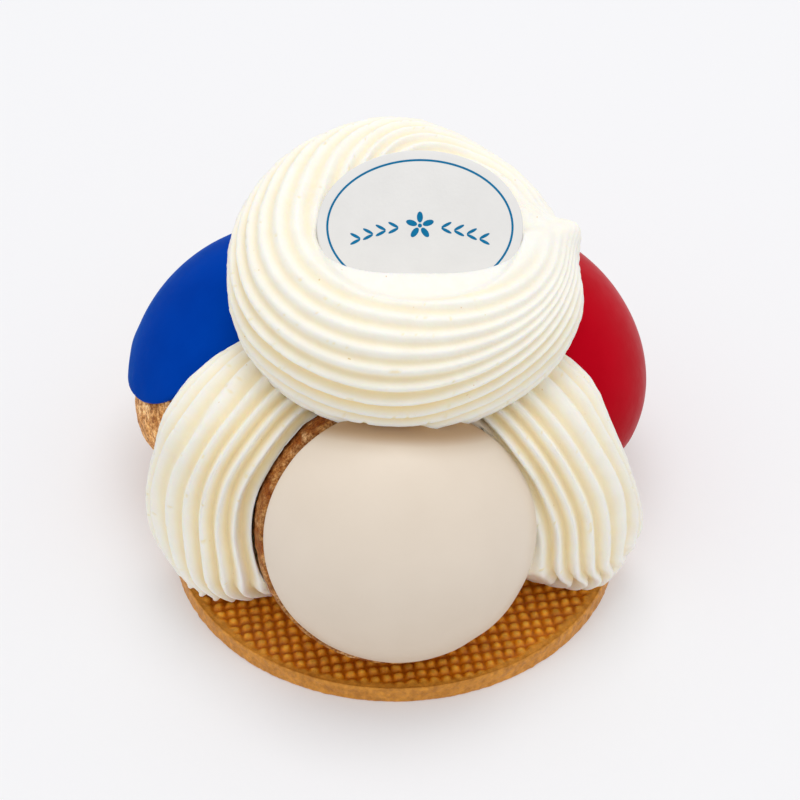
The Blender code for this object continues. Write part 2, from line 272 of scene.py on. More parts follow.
# plaque
PLAQUE_WIDE = 34.4
PLAQUE_HIGH = 26.6
PLAQUE_THICK = 1.1
PLAQUE_LEAN = 35.0  # degrees back from upright
PLAQUE_CENTRE = np.array((4.2, -0.2, 73.4))
PLAQUE_EDGE = 0.25
PLAQUE_INSET = 0.08  # inside the solid's outline
COVER_DEEP = 8.0  # cream covers the face this far below its middle
COVER_SIDES = 4.0  # less this at the sides
COVER_SLOPE = 0.6
EDGE_SLOPE = 2.0  # of the cream outside the plaque's edge, at most

# printed line, flower and leaves
LINE_INSET = 1.85
LINE_WIDE = 0.36
PRINT_DEEP = 0.1  # into the plaque
FLOWER_UP = 0.2  # above the plaque's middle
FLOWER_DOT = 0.35
PETALS = 5
PETAL_OUT = 1.45
PETAL_HALF = (0.95, 0.5)  # half length and half width
LEAF_PAIRS = 4
LEAF_START = 4.4
LEAF_STEP = 2.1
LEAF_DROOP = 0.02
LEAF_LEAN = 28.0
LEAF_OFF = 0.5
LEAF_HALF = (0.95, 0.26)


# ---- numbers over whole meshes

def ease(value, low, high):
    """0 below low, 1 above high, with a smooth step between."""
    t = np.clip((value - low) / (high - low), 0.0, 1.0)
    return t * t * (3.0 - 2.0 * t)


def window(value, start, full_from, full_to, end):
    """Rises from 0 at start to 1 between the middle two values, and falls back to 0 at end."""
    return ease(value, start, full_from) * (1.0 - ease(value, full_to, end))


def between(low, high, share):
    return low + (high - low) * share


def around(value, centre):
    """Angle from centre to value, from -180 to 180."""
    return (value - centre + 180.0) % 360.0 - 180.0


def pick(table, index):
    """Values of a table over three whole numbers."""
    return table[index[..., 0], index[..., 1], index[..., 2]]


def noise(points, size, seed):
    """Smooth lumps of about the given size, between -1 and 1."""
    table = np.random.default_rng(seed).uniform(-1.0, 1.0, (32, 32, 32))
    place = points / size
    cell = np.floor(place).astype(int)
    part = place - cell
    part = part * part * (3.0 - 2.0 * part)
    total = np.zeros(points.shape[:-1])
    for corner in np.ndindex(2, 2, 2):
        index = (cell + corner) % 32
        weight = np.prod(np.where(np.array(corner) == 1, part, 1.0 - part), axis=-1)
        total += weight * pick(table, index)
    return total


def cells(points, size, seed):
    """Distance to the border between random cells, and a random value for each cell."""
    rng = np.random.default_rng(seed)
    seats = rng.uniform(0.0, 1.0, (16, 16, 16, 3))
    values = rng.uniform(0.0, 1.0, (16, 16, 16))
    place = points / size
    cell = np.floor(place).astype(int)
    nearest = np.full(points.shape[:-1], 9.0)
    second = np.full(points.shape[:-1], 9.0)
    value = np.zeros(points.shape[:-1])
    for step in np.ndindex(3, 3, 3):
        here = cell + np.array(step) - 1
        index = here % 16
        seat = here + pick(seats, index)
        distance = np.linalg.norm(place - seat, axis=-1)
        closer = distance < nearest
        second = np.where(closer, nearest, np.minimum(second, distance))
        value = np.where(closer, pick(values, index), value)
        nearest = np.where(closer, distance, nearest)
    return (second - nearest) * size, value


def tube_faces(rows, count, closed=False, shift=0):
    """Squares of a skin through rows of count points; closed joins the last row to the first."""
    i = np.arange(rows if closed else rows - 1)[:, None]
    j = np.arange(count)[None, :]
    here = i * count
    there = (i + 1) % rows * count
    turn = np.where(i + 1 == rows, shift, 0)
    beyond = (there + (j + 1 + turn) % count, there + (j + turn) % count)
    corners = (here + j, here + (j + 1) % count) + beyond
    return np.stack(corners, axis=-1).reshape(-1, 4).tolist()


def cap_faces(start, count, tip, reverse=False):
    """Fan from a ring of points to its middle point."""
    ring = [(start + k, start + (k + 1) % count, tip) for k in range(count)]
    return [face[::-1] for face in ring] if reverse else ring


def closed_tube(rows, count):
    """Skin through rows of count points, closed by the two points that follow them."""
    last = rows * count
    first_end = cap_faces(0, count, last, reverse=True)
    return tube_faces(rows, count) + first_end + cap_faces(last - count, count, last + 1)


def turned(profile, segments):
    """Points and faces of a round body about Z; the profile starts and ends on the axis."""
    inner = np.array(profile[1:-1])
    turn = np.linspace(0.0, 2 * math.pi, segments, endpoint=False)
    x = inner[:, :1] * np.cos(turn)
    y = inner[:, :1] * np.sin(turn)
    z = np.broadcast_to(inner[:, 1:], x.shape)
    points = np.stack((x, y, z), axis=-1).reshape(-1, 3)
    ends = np.array([(0.0, 0.0, profile[0][1]), (0.0, 0.0, profile[-1][1])])
    return np.concatenate((points, ends)), closed_tube(len(inner), segments)


# ---- pieces

def add_piece(name, points, faces, mat, node, fields=None, sharp=None):
    """A closed mesh with its faces turned outwards, standing for a node of the frame."""
    mesh = bpy.data.meshes.new(name)
    mesh.from_pydata((points * MM).tolist(), [], faces)
    mesh.update()
    mesh.calc_loop_triangles()
    corners = np.zeros(len(mesh.loop_triangles) * 3, dtype=int)
    mesh.loop_triangles.foreach_get("vertices", corners)
    a, b, c = (points[corners[k::3]] for k in range(3))
    if np.einsum("ij,ij->i", a, np.cross(b, c)).sum() < 0:
        mesh.flip_normals()
    mesh.shade_smooth()
    if sharp:
        mesh.set_sharp_from_angle(angle=math.radians(sharp))
    for key, values in (fields or {}).items():
        layer = mesh.attributes.new(key, "FLOAT", "POINT")
        layer.data.foreach_set("value", np.ravel(values).astype(np.float32))
    mesh.materials.append(mat)
    piece = bpy.data.objects.new(name, mesh)
    bpy.context.scene.collection.objects.link(piece)
    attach(piece, BODY)
    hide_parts(node)
    return piece


def chou_axes(facing, tip):
    """Directions out, side and axis of one chou; the icing cap is centred on the axis."""
    a = math.radians(facing)
    t = math.radians(tip)
    axis = np.array((math.sin(t) * math.cos(a), math.sin(t) * math.sin(a), math.cos(t)))
    out = np.array((math.cos(t) * math.cos(a), math.cos(t) * math.sin(a), -math.sin(t)))
    return np.stack((out, np.cross(axis, out), axis))


def chou_centre(x, y, tip, crust):
    """Middle of a chou's widest circle, at the height where its round touches the base."""
    t = math.radians(tip)
    reach = math.hypot(crust * math.sin(t), CHOU_DOWN * math.cos(t))
    return np.array((x, y, DISC_HEIGHT + GAP + reach))


def crust_swell(name, local):
    """How much further than round the front chou's crust reaches, by direction about its axis."""
    if name != "front":
        return np.zeros(local.shape[:-1])
    turn = np.degrees(np.arctan2(local[..., 1], local[..., 0]))
    swell = np.zeros(turn.shape)
    for high, middle, wide in CRUST_SWELLS:
        swell += high * np.exp(-(around(turn, middle) / wide) ** 2)
    return swell


def press(points, gap):
    """Moves points that lie inside a chou out to this far from its surface."""
    moved = points.copy()
    for _ in range(2):
        for name, x, y, facing, tip, crust, icing, rim in CHOUX:
            axes = chou_axes(facing, tip)
            centre = chou_centre(x, y, tip, crust)
            local = (moved - centre) @ axes.T
            across = np.hypot(local[..., 0], local[..., 1])
            lift = local[..., 2]
            angle = np.degrees(np.arctan2(lift, across))
            iced = ease(angle, rim + ICED_FROM[0], rim + ICED_FROM[1])
            radius = crust + crust_swell(name, local) * (1.0 - iced) + (icing - crust) * iced + gap
            crown = CAP_UP - ICING_THICK + ICING_THICK * iced + gap
            high = np.where(lift > 0, crown, CHOU_DOWN + gap)
            inside = np.hypot(across / radius, lift / high)
            scale = np.where(inside < 1.0, 1.0 / np.maximum(inside, 0.2), 1.0)
            moved = centre + (local * scale[..., None]) @ axes
    return moved


def rib(phase, sharp):
    """Depth of the cream's ribbing: 0 on the crests, 1 in the grooves; under 1, crests are narrow."""
    return (0.5 + 0.5 * np.cos(2.0 * np.pi * phase)) ** sharp


def mound(x, y, high, x0, y0, wide, tall):
    """A rounded swelling over two coordinates."""
    return high * np.exp(-((x - x0) / wide) ** 2 - ((y - y0) / tall) ** 2)


def cream_grain(points, crest):
    """Small unevenness of piped cream, and how much of a nick there is at each point."""
    lumps = sum(high * noise(points, size, seed) for high, size, seed in CREAM_LUMPS)
    nick = ease(noise(points, 0.7, seed=33), *NICK_SHARE) * ease(crest, *NICK_CREST)
    high, size, seed = CREST_LUMPS
    ragged = high * noise(points, size, seed) * crest
    return lumps + ragged - NICK_DEEP * nick, nick


def uncover_plaque(points):
    """Lowers cream that stands over the plaque's face, except along its lower edge."""
    local = (points - PLAQUE_CENTRE) @ plaque_axes().T
    u, v, w = (local[..., k] for k in range(3))
    half = PLAQUE_THICK / 2
    edge = -COVER_DEEP + COVER_SIDES * (np.abs(u) / PLAQUE_WIDE * 2.0) ** 3.5
    outside = (np.hypot(u / PLAQUE_WIDE * 2.0, v / PLAQUE_HIGH * 2.0) - 1.0) * PLAQUE_HIGH / 2 + GAP
    ceiling = np.maximum(half + INSET - COVER_SLOPE * (v - edge), -half - GAP)
    ceiling += EDGE_SLOPE * np.maximum(outside, 0.0)
    local[..., 2] = np.where(w > -half, np.minimum(w, ceiling), w)
    return on_plaque(local)


def ring_tilt():
    """Rotation that tips the cream ring back."""
    return np.array(Matrix.Rotation(math.radians(RING_TILT), 3, "X"))


def ring_gap(points):
    """About how far outside the cream ring points lie."""
    local = (points - RING_CENTRE) @ ring_tilt()
    across = (np.hypot(local[..., 0], local[..., 1]) - RING_RADIUS) / RING_ACROSS
    return (np.hypot(across, local[..., 2] / RING_HIGH) - 1.0) * RING_ACROSS


def rope_size(turn):
    """How far the rope lies outwards, and its half width and half height, by place round the ring."""
    back = RING_BACK * np.maximum(0.0, np.sin(np.radians(turn)))
    swell = window(turn, *RING_LEFT_SPAN)
    shoulder = SHOULDER * window(turn, *SHOULDER_SPAN)
    across = RING_ACROSS + back + RING_LEFT[0] * swell + shoulder
    high = RING_HIGH + back + RING_LEFT[1] * swell + shoulder
    return back, across, high


def calm_part(turn, angle):
    """Where the ring's upper and inner side in front is plain."""
    from_front = around(turn, FRONT)
    side = ease(from_front, *CALM_SIDE)
    (start, start_less), (full, full_less) = CALM_FROM
    round_rope = window(angle % 360.0, start - start_less * side, full - full_less * side, *CALM_TO)
    return window(from_front, *CALM_SPAN) * round_rope


def rope_end(turn, off, lift):
    """Height of the knob at the rope's end over the round rope, with the hollows beside it."""
    shape = mound(off, lift, *KNOB) - (mound(off, lift, *DENT) - mound(off, lift, *FLANK))
    start = PEAK[0] - START_EDGE[0] - START_EDGE[1] * np.clip(lift, 0.0, START_FAR)
    place = around(turn, 0.0)
    thin = ease(place, start, start + START_STEP) * (1.0 - ease(place, *START_FULL))
    return shape - START_THIN * thin


def build_ring(mat):
    """A rope of ribbed cream, laid round in a ring and ending in a knob at the right."""
    count = RING_RIBS * RIB_STEPS
    turn = np.broadcast_to(360.0 * np.arange(RING_ROWS)[:, None] / RING_ROWS, (RING_ROWS, count))
    phase = np.broadcast_to(np.arange(count)[None, :] / RIB_STEPS, (RING_ROWS, count))
    back, across, high = rope_size(turn)
    twist = RING_TURN * 360.0 / RING_RIBS * ease(turn, *RING_TURN_SPAN)
    uneven = sum(much * np.sin(phase / RING_RIBS * half_turns * math.pi + start)
                 for much, half_turns, start in RIB_UNEVEN)
    angle = (phase + uneven) * 360.0 / RING_RIBS + twist
    off = around(turn, PEAK[0])
    lift = around(angle, PEAK[1])
    reach = (lift / GATHER_SPREAD) ** 2
    pull = GATHER * window(off, *GATHER_SPAN) * np.exp(-reach)
    spacing = np.clip(1.0 - pull * (1.0 - 2.0 * reach), 0.0, 1.0)
    angle = angle - lift * pull
    lift = lift * (1.0 - pull)
    ribbed = (1.0 - calm_part(turn, angle)) * spacing ** 0.8 * (1.0 - mound(off, lift, *PEAK_FADE))
    groove = rib(phase, RIB_SHARP)
    low = 1.0 - ease(np.sin(np.radians(angle)), *RIB_LOWER)
    depth = between(*RIB_DEPTH, low)
    rise = rope_end(turn, off, lift) - depth * groove * ribbed - CALM_DEPTH * (1.0 - ribbed) - SKIN_INSET
    a = np.radians(turn)
    b = np.radians(angle)
    out = RING_RADIUS + back + (across + rise) * np.cos(b)
    spots = np.stack((out * np.cos(a), out * np.sin(a), (high + rise) * np.sin(b)), axis=-1)
    lumps, nick = cream_grain(spots, (1.0 - groove) * ribbed)
    outwards = np.stack((np.cos(b) * np.cos(a), np.cos(b) * np.sin(a), np.sin(b)), axis=-1)
    spots = (spots + outwards * lumps[..., None]) @ ring_tilt().T + RING_CENTRE
    spots = uncover_plaque(press(spots, -SINK))
    faces = tube_faces(RING_ROWS, count, closed=True, shift=RIB_STEPS * RING_TURN)
    # groove carries painted shade: grooves yellower and darker, most on the ring's lower side
    fields = {"groove": groove * ribbed * between(RING_SHADE, 1.0, low), "nick": nick}
    return add_piece("cream_ring_piped", spots.reshape(-1, 3), faces, mat, "cream_ring", fields)


def smooth_path(knots, steps):
    """Rows between the given rows, on a curve through all of them."""
    ends = np.vstack((2 * knots[0] - knots[1], knots, 2 * knots[-1] - knots[-2]))
    rows = []
    for place in np.linspace(0.0, len(knots) - 1.0, steps):
        i = min(int(place), len(knots) - 2)
        t = place - i
        p0, p1, p2, p3 = ends[i:i + 4]
        bend = (2 * p0 - 5 * p1 + 4 * p2 - p3) * t ** 2 + (3 * p1 - p0 - 3 * p2 + p3) * t ** 3
        rows.append(p1 + 0.5 * ((p2 - p0) * t + bend))
    return np.array(rows)


def strip_section(phase, high, twist, hand, plain_from):
    """Angle, rib from the front, and how plain, grooved and near the front chou each point is."""
    b = 2 * math.pi * (phase + twist) / STRIP_RIBS
    from_front = phase if hand > 0 else STRIP_RIBS - phase
    plain = window(from_front, plain_from, plain_from + PLAIN_EDGE, *PLAIN_END)
    sharp = between(*STRIP_SHARP, ease(high, *STRIP_SHARP_SPAN))
    groove = rib(phase, sharp) * (1.0 - PLAIN_SHARE * plain)
    near = ease(np.sin(b) * hand, *STRIP_NEAR)
    return b, from_front, plain, groove, near


def strip_skin(name, facing, reach, hand, plain_from):
    """Points of a strip by row and by place round it, with the painted shade in its grooves and how much nick
    there is at each point.
    """
    a = math.radians(facing)
    out = np.array((math.cos(a), math.sin(a), 0.0))
    side = np.array((-math.sin(a), math.cos(a), 0.0))
    up = np.array((0.0, 0.0, 1.0))
    base = np.array((*STRIP_AXIS, 0.0))
    path = smooth_path(np.hstack((STRIP_LEVELS, STRIP_PATHS[name])), STRIP_ROWS)
    high, tilt, dist, deep, near_half, far_half, aside, twist = (column[:, None] for column in path.T)
    count = STRIP_RIBS * RIB_STEPS
    phase = np.broadcast_to(np.arange(count)[None, :] / RIB_STEPS, (STRIP_ROWS, count))
    b, from_front, plain, groove, near = strip_section(phase, high, twist, hand, plain_from)
    drop = -between(*STRIP_GROOVE, near) * groove - SKIN_INSET
    lower = np.clip((STRIP_FOOT + TOE_ROUND - high) / TOE_ROUND, 0.0, 1.0)
    drop = drop - TOE_ROUND * (1.0 - np.sqrt(1.0 - lower ** 2))
    half = between(far_half, near_half, ease(np.sin(b) * hand, *STRIP_HALVES))
    u = np.sign(np.cos(b)) * np.abs(np.cos(b)) ** STRIP_CORNER
    v = np.sign(np.sin(b)) * np.abs(np.sin(b)) ** STRIP_CORNER
    deep = np.where(u < 0.0, np.minimum(deep, np.maximum(dist - INNER_REACH, INNER_LEAST)), deep)
    share = np.minimum(1.0, (dist - STRIP_INNER[0]) / STRIP_INNER[1])
    t = np.radians(tilt)
    face = out * np.cos(t)[..., None] + up * np.sin(t)[..., None]
    centre = base + out * (dist + reach * share)[..., None] + up * high[..., None] + side * aside[..., None]
    spots = centre + face * ((deep + drop) * u)[..., None] + side * ((half + drop) * v)[..., None]
    over = np.zeros(phase.shape)
    if name == "left":
        over = window(from_front, *OVER_RIBS) * window(high, *OVER_SPAN)
        spots += side * (hand * OVER_REACH * plain * window(high, *OVER_REACH_SPAN))[..., None]
    lumps, nick = cream_grain(spots + CREAM_PLACE, 1.0 - groove)
    spots += (face * u[..., None] + side * v[..., None]) * lumps[..., None]
    toe = 1.0 - ease(high, STRIP_FOOT, TOE_HIGH)
    off_crest = np.abs(2.0 * (phase % 1.0) - 1.0)
    spots[..., 2] += TOE_POINT * toe * (1.0 - np.sqrt(1.0 - off_crest ** 2)) * (1.0 - plain)
    spots[..., 2] = np.maximum(spots[..., 2], STRIP_FOOT)
    spots = press(spots, (SINK + OVER_THICK) * over - SINK)
    # painted shade: grooves yellower and darker towards the front chou, and the plain face there too
    shade = groove * (STRIP_SHADE[0] + STRIP_SHADE[1] * near) + STRIP_SHADE[1] * plain * near
    return spots, shade, nick


def build_strip(name, facing, reach, hand, plain_from, mat):
    """One piped strip; hand is the side on which the front chou lies."""
    spots, shade, nick = strip_skin(name, facing, reach, hand, plain_from)
    a = math.radians(facing)
    dist = STRIP_PATHS[name][-1][0] - STRIP_TIP[0]
    high = STRIP_LEVELS[-1][0] - STRIP_TIP[1]
    tip = (STRIP_AXIS[0] + dist * math.cos(a), STRIP_AXIS[1] + dist * math.sin(a), high)
    sole = spots[0].mean(axis=0)
    points = np.concatenate((spots.reshape(-1, 3), (sole, tip)))
    fields = {"groove": np.append(shade, (0.0, 0.0)), "nick": np.append(nick, (0.0, 0.0))}
    node = "cream_strip_" + name
    return add_piece(node + "_piped", points, closed_tube(*shade.shape), mat, node, fields)


def half_ellipse(radius, up, down, start, stop, steps):
    """Points of the choux outline between two angles above its widest circle."""
    angles = np.radians(np.linspace(start, stop, steps))
    return [(radius * math.cos(a), (up if a > 0 else down) * math.sin(a)) for a in angles]


def below_crown(local):
    """Angle above a chou's widest circle at each point."""
    return np.degrees(np.arctan2(local[:, 2], np.hypot(local[:, 0], local[:, 1])))


def crust_profile(crust, icing, rim):
    """Outline of a chou from its crown, hidden in the icing, to the middle of its foot."""
    dome = icing - ICING_THICK - GAP
    high = CAP_UP - ICING_THICK - GAP
    top = half_ellipse(dome, high, CHOU_DOWN, 90.0, rim + 1.0, 16)
    start = rim - 6.0
    if crust > icing:
        inner, height = half_ellipse(dome, high, CHOU_DOWN, rim, rim, 1)[0]
        start = math.degrees(math.asin((height - LIP_DROP) / high))
        lip = crust * math.cos(math.radians(start))
        top += [(inner, height - 0.45), (lip - 0.5, height - 0.45), (lip - 0.15, height - 0.6)]
    low = half_ellipse(crust, high, CHOU_DOWN, start, FOOT_ANGLE, 96)
    foot, end = low[-1]
    sole = end - FOOT_DROP
    edge = [(foot - 0.5, end - 0.5), (foot - 1.4, sole)]
    floor = [(r, sole) for r in np.linspace(foot - 2.5, 1.0, 12)]
    return top + low + edge + floor + [(0.0, sole)]


def build_crust(name, x, y, facing, tip, crust, icing, rim, mat):
    """A chou with its cracked crust, which icing covers above the rim."""
    local, faces = turned(crust_profile(crust, icing, rim), segments=270)
    spot = local * np.array(CRUST_STRETCH) + PATTERN_STEP * PATTERN_PLACE[name]
    border, value = cells(spot, 2.6, seed=5)
    crack = 1.0 - ease(border, 0.0, CRACK_WIDE)
    grain = noise(spot, 1.3, seed=6) * 0.6 + noise(spot, 0.7, seed=7) * 0.4
    angle = below_crown(local)
    under = rim - angle
    shown = 1.0 - ease(angle, rim - RIM_HIDDEN, rim)
    grown = ease(angle, rim - STREAK_FADE[0], rim - STREAK_FADE[1])
    streak = ease(noise(spot, 1.5, seed=8), *STREAK_SHARE) * between(STREAK_LEAST, 1.0, grown)
    relief = -CRACK_DEEP * crack + GRAIN_HIGH * grain - STREAK_DEEP * streak - CRUST_SUNK + PATCH_HIGH * value
    relief *= shown
    patch = between(PATCH_LEAST, 1.0, value)
    smear = np.zeros(len(local))
    if name == "front":
        relief *= 1.0 - BAND_SMOOTH * (1.0 - ease(under, *BAND_SMOOTH_END))
        patch += (BAND_DARK * value - patch) * (1.0 - ease(under, *BAND_DARK_END))
        # browning of the band, with painted shade where its grain is low, in its pits
        band = window(under + 2.0 * grain, *BAND_STREAK)
        streak = np.maximum(streak, (BAND_BROWNING_AND_SHADE[0] - BAND_BROWNING_AND_SHADE[1] * grain) * band)
        smear = ease(local[:, 1] - SMEAR_SLANT * local[:, 0], *SMEAR_EDGE) * (1.0 - ease(under, *SMEAR_END))
    relief += crust_swell(name, local) * shown
    if name == "left":
        relief += LEFT_FULL * window(angle, *LEFT_FULL_SPAN)
    length = np.linalg.norm(local, axis=1)
    local = local * (1.0 + relief / np.maximum(length, 1.0))[:, None]
    points = chou_centre(x, y, tip, crust) + local @ chou_axes(facing, tip)
    points[:, 2] = np.maximum(points[:, 2], DISC_HEIGHT + GAP)
    fields = {"crack": crack, "patch": patch, "grain": 0.5 + 0.5 * grain, "streak": streak, "smear": smear}
    node = "chou_" + name
    return add_piece(node + "_crust", points, faces, mat, node, fields)


def icing_profile(icing, rim):
    """Outline of a cap from its crown down the outside, round the lip and back up the inside."""
    outer = half_ellipse(icing - INSET, CAP_UP - INSET, 0.0, 90.0, rim + RIM_START, 56)
    inner = half_ellipse(icing - ICING_THICK, CAP_UP - ICING_THICK, 0.0, rim + RIM_START, 90.0, 16)
    start = np.array(outer[-1])
    end = np.array(inner[0])
    middle = (start + end) / 2
    half = (start - end) / 2
    down = LIP_LONG * np.array((half[1], -half[0]))
    angles = np.radians(np.arange(15, 180, 15))
    lip = [tuple(middle + half * math.cos(t) + down * math.sin(t)) for t in angles]
    return outer + lip + inner


def build_icing(name, x, y, facing, tip, crust, icing, rim, mat, slot):
    """The cap of icing on a chou, with a slightly wavy rim."""
    local, faces = turned(icing_profile(icing, rim), segments=200)
    turn = np.arctan2(local[:, 1], local[:, 0])
    near = 1.0 - ease(below_crown(local), rim, rim + RIM_SAG_SPAN)
    seat = PATTERN_PLACE[name]
    sag = sum(high * np.sin(waves * turn + shift * seat) for high, waves, shift in RIM_WAVES)
    local[:, 2] += near * (sag + RIM_LUMPS * noise(local, 4.0, seed=12) + RIM_SAG)
    local *= (1.0 + CAP_UNEVEN * noise(local, 7.0, seed=11))[:, None]
    points = chou_centre(x, y, tip, crust) + local @ chou_axes(facing, tip) + np.array(NUDGE[name])
    # painted shade low down and painted shadow under the cream ring, kept in the field thin
    low = LOW_PAINTED_SHADE * (1.0 - ease(points[:, 2], *LOW_ICING))
    thin = np.maximum(RING_PAINTED_SHADOW * (1.0 - ease(ring_gap(points), *RING_SHADOW_REACH)), low)
    node = "icing_" + name
    return add_piece(node + "_cap", points, faces, mat, node, {"thin": thin})


def border_loop(faces):
    """The points round the outside of a patch of squares, in order."""
    edges = np.concatenate([faces[:, (k, (k + 1) % 4)] for k in range(4)])
    _, where, times = np.unique(np.sort(edges, axis=1), axis=0, return_index=True, return_counts=True)
    border = edges[where[times == 1]]
    after = dict(border.tolist())
    loop = [border[0][0]]
    while after[loop[-1]] != loop[0]:
        loop.append(after[loop[-1]])
    return np.array(loop)


def disc_grid():
    """A round patch of squares for the base's top, with its border moved onto the flat part's edge."""
    half = int(DISC_RADIUS / DISC_CELL) + 1
    line = np.arange(-half, half + 1) * DISC_CELL
    x, y = np.meshgrid(line, line, indexing="ij")
    keep = np.hypot(x, y) <= DISC_FLAT
    square = keep[:-1, :-1] & keep[1:, :-1] & keep[1:, 1:] & keep[:-1, 1:]
    index = np.arange(x.size).reshape(x.shape)
    quads = np.stack((index[:-1, :-1], index[1:, :-1], index[1:, 1:], index[:-1, 1:]), axis=-1)[square]
    used, faces = np.unique(quads, return_inverse=True)
    faces = faces.reshape(quads.shape)
    x = x.ravel()[used]
    y = y.ravel()[used]
    loop = border_loop(faces)
    stretch = DISC_FLAT / np.hypot(x[loop], y[loop])
    x[loop] *= stretch
    y[loop] *= stretch
    return x, y, faces, loop


def base_bumps(x, y):
    """Height of the base's top below its full height, with the bumps, their chance and their reach."""
    plan = np.stack((x, y, np.zeros_like(x)), axis=-1)
    grain = noise(plan, 0.8, seed=21) * 0.6 + noise(plan, 0.4, seed=22) * 0.4
    turn = math.radians(BUMP_TURN)
    u = (x * math.cos(turn) + y * math.sin(turn)) / BUMP_PITCH * math.pi
    v = (y * math.cos(turn) - x * math.sin(turn)) / BUMP_PITCH * math.pi
    luck = np.random.default_rng(27).uniform(0.0, 1.0, (64, 64))
    luck = luck[np.round(u / math.pi).astype(int) % 64, np.round(v / math.pi).astype(int) % 64]
    u = u + UNEVEN_GRID * noise(plan, 1.7, seed=28)
    v = v + UNEVEN_GRID * noise(plan, 1.7, seed=29)
    bump = ease(np.abs(np.cos(u) * np.cos(v)), 0.0, BUMP_FULL[0] + BUMP_FULL[1] * luck)
    inside = 1.0 - ease(np.hypot(x, y) + 0.5 * noise(plan, 3.0, seed=23), *BUMP_BORDER)
    rise = bump * (1.0 - BUMP_LOW + BUMP_LOW * luck) * inside + BORDER_RISE * (1.0 - inside)
    height = BUMP_HIGH * (rise - 1.0) + TOP_GRAIN * grain - TOP_GRAIN
    return height, bump, luck, inside


def base_side(theta):
    """Rings of points from the top's edge down the rough side and in under the flat sole."""
    rows = []
    top = DISC_HEIGHT - SIDE_START
    for k in range(1, 7):
        t = math.radians(15.0 * k)
        rows.append((DISC_FLAT + DISC_EDGE * math.sin(t), top - DISC_EDGE * (1 - math.cos(t))))
    for k in range(1, 8):
        rows.append((DISC_RADIUS, top - DISC_EDGE - k * SIDE_STEP))
    for k in range(0, 5):
        t = math.radians(22.5 * k)
        rows.append((DISC_FLAT + DISC_EDGE * math.cos(t), DISC_EDGE * (1 - math.sin(t))))
    rows += [(DISC_FLAT - 4.0, 0.0), (20.0, 0.0), (5.0, 0.0)]
    side = []
    for wide, z in rows:
        ring = np.stack((wide * np.cos(theta), wide * np.sin(theta), np.full_like(theta, z)), axis=-1)
        rough = SIDE_ROUGH[0] * noise(ring, 1.1, seed=24) + SIDE_ROUGH[1] * noise(ring, 0.5, seed=25)
        rough -= sum(SIDE_ROUGH)
        rough *= min(1.0, (wide - DISC_FLAT) / DISC_EDGE)
        if wide > DISC_FLAT:
            ring[:, :2] *= (1.0 + rough / wide)[:, None]
        side.append(ring)
    return side


def build_base(mat):
    """The round baked base, with bumps on top and a plain rim."""
    x, y, faces, loop = disc_grid()
    height, bump, luck, inside = base_bumps(x, y)
    top = np.stack((x, y, DISC_HEIGHT + height), axis=-1)
    side = base_side(np.arctan2(y[loop], x[loop]))
    points = np.concatenate([top] + side + [np.zeros((1, 3))])
    first = len(top)
    count = len(loop)
    after = np.roll(loop, -1)
    faces = faces.tolist()
    faces += [(int(after[k]), int(loop[k]), first + k, first + (k + 1) % count) for k in range(count)]
    faces += [tuple(first + corner for corner in quad[::-1]) for quad in tube_faces(len(side), count)]
    faces += cap_faces(first + (len(side) - 1) * count, count, len(points) - 1, reverse=True)
    rest = points[first:]
    full = np.ones(len(rest))
    fields = {
        "bump": np.append(bump * inside + 0.9 * (1.0 - inside), full),
        "border": np.append(1.0 - inside, full),
        "patch": np.append(luck * inside + 0.6 * (1.0 - inside), 0.5 + 0.5 * noise(rest, 0.6, seed=26)),
    }
    return add_piece("sable_base_baked", points, faces, mat, "sable_base", fields)


def plaque_axes():
    """Directions across and up the plaque's face, and out of it."""
    t = math.radians(90.0 - PLAQUE_LEAN)
    across = np.array((1.0, 0.0, 0.0))
    upward = np.array((0.0, math.sin(t), math.cos(t)))
    return np.stack((across, upward, np.cross(across, upward)))


def on_plaque(local):
    """Points given by the plaque's own directions, in the frame's."""
    return PLAQUE_CENTRE + local @ plaque_axes()


def oval(inset, depth, count):
    """A ring of points this far inside the plaque's outline and this far in front of its middle."""
    b = np.linspace(0.0, 2 * math.pi, count, endpoint=False)
    u = (PLAQUE_WIDE / 2 - inset) * np.cos(b)
    v = (PLAQUE_HIGH / 2 - inset) * np.sin(b)
    return np.stack((u, v, np.full(count, depth)), axis=-1)


def build_plaque(mat):
    """The thin oval plaque with its rounded edge."""
    count = 160
    half = PLAQUE_THICK / 2 - INSET
    rows = [(-half, 3.0), (-half, 1.0)]
    for k in range(7):
        t = math.radians(15.0 * k)
        rows.append((-half + PLAQUE_EDGE * (1 - math.cos(t)), PLAQUE_EDGE * (1 - math.sin(t))))
    rows += [(-depth, inset) for depth, inset in rows[::-1]]
    local = [oval(PLAQUE_INSET + inset, depth, count) for depth, inset in rows]
    points = on_plaque(np.concatenate(local + [np.array([(0.0, 0.0, -half), (0.0, 0.0, half)])]))
    faces = closed_tube(len(rows), count)
    return add_piece("plaque_oval", points, faces, mat, "plaque", sharp=50.0)


def flat_shape(centre, angle, half_long, half_wide, count=20):
    """Outline of a printed petal, leaf or dot in the plaque's plane."""
    b = np.linspace(0.0, 2 * math.pi, count, endpoint=False)
    along = half_long * np.cos(b)
    across = half_wide * np.sin(b)
    turn = math.radians(angle)
    u = centre[0] + along * math.cos(turn) - across * math.sin(turn)
    v = centre[1] + along * math.sin(turn) + across * math.cos(turn)
    return np.stack((u, v), axis=-1)


